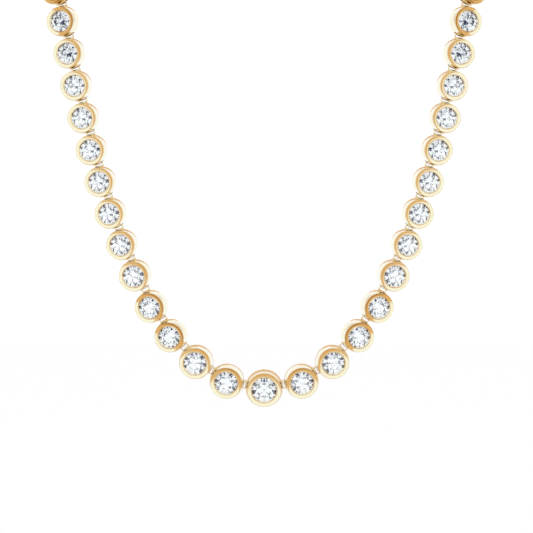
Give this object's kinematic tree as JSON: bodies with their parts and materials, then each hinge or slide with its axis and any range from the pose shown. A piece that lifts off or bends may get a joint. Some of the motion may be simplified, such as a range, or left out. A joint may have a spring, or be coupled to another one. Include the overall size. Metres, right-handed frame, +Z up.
{
  "type": "diamond necklace",
  "caption": "Graduated line necklace of round bezel-set brilliant stones in polished gold cups, hinged loop to pin, in a closed loop as worn.",
  "frame": {"origin": "on the skin at the nape of the neck, under the middle of the clasp's inner face", "axes": "+Z up, -Y out of the front of the necklace, +X to the right of someone looking at its front"},
  "size_m": [0.1026, 0.0734, 0.1544],
  "materials": {
    "gold": "polished pale yellow gold",
    "diamond": "polished facets"
  },
  "bodies": {
    "root": {"center_setting": "gold", "center_stone": "diamond", "left_setting_1": "gold", "left_setting_2": "gold", "left_setting_3": "gold", "left_setting_4": "gold", "left_setting_5": "gold", "left_setting_6": "gold", "left_setting_7": "gold", "left_setting_8": "gold", "left_setting_9": "gold", "right_setting_1": "gold", "right_setting_2": "gold", "right_setting_3": "gold", "right_setting_4": "gold", "right_setting_5": "gold", "right_setting_6": "gold", "right_setting_7": "gold", "right_setting_8": "gold", "right_setting_9": "gold", "left_stone_1": "diamond", "left_stone_2": "diamond", "left_stone_3": "diamond", "left_stone_4": "diamond", "left_stone_5": "diamond", "left_stone_6": "diamond", "left_stone_7": "diamond", "left_stone_8": "diamond", "left_stone_9": "diamond", "right_stone_1": "diamond", "right_stone_2": "diamond", "right_stone_3": "diamond", "right_stone_4": "diamond", "right_stone_5": "diamond", "right_stone_6": "diamond", "right_stone_7": "diamond", "right_stone_8": "diamond", "right_stone_9": "diamond", "left_setting_string": "gold", "right_setting_string": "gold", "left_stone_string": "diamond", "right_stone_string": "diamond", "clasp": "gold"}
  },
  "joints": []
}
